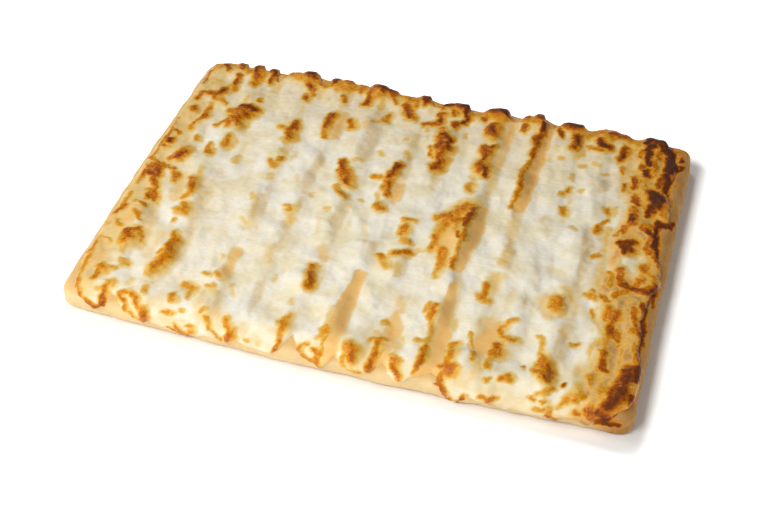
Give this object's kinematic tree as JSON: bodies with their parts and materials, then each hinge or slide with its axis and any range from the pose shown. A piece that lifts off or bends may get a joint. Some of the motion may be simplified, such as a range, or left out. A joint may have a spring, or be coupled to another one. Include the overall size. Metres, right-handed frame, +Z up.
{
  "type": "cheese focaccia",
  "caption": "Flat oblong bread with finger-pressed ridges under a browned sheet of melted cheese that runs over its edges in lobes.",
  "frame": {"origin": "on the surface the bread lies on, under the middle of its outer box", "axes": "+X along the long side of the bread, +Y across it to the back edge, +Z up through the cheese"},
  "size_m": [0.3008, 0.2144, 0.0257],
  "materials": {
    "crust": "baked tan crust, dull, darker at the right rim",
    "melted_cheese": "creamy white melted cheese with toasted orange, brown and dark patches, softly glossy"
  },
  "bodies": {
    "root": {"bread": "crust", "cheese": "melted_cheese"}
  },
  "joints": []
}
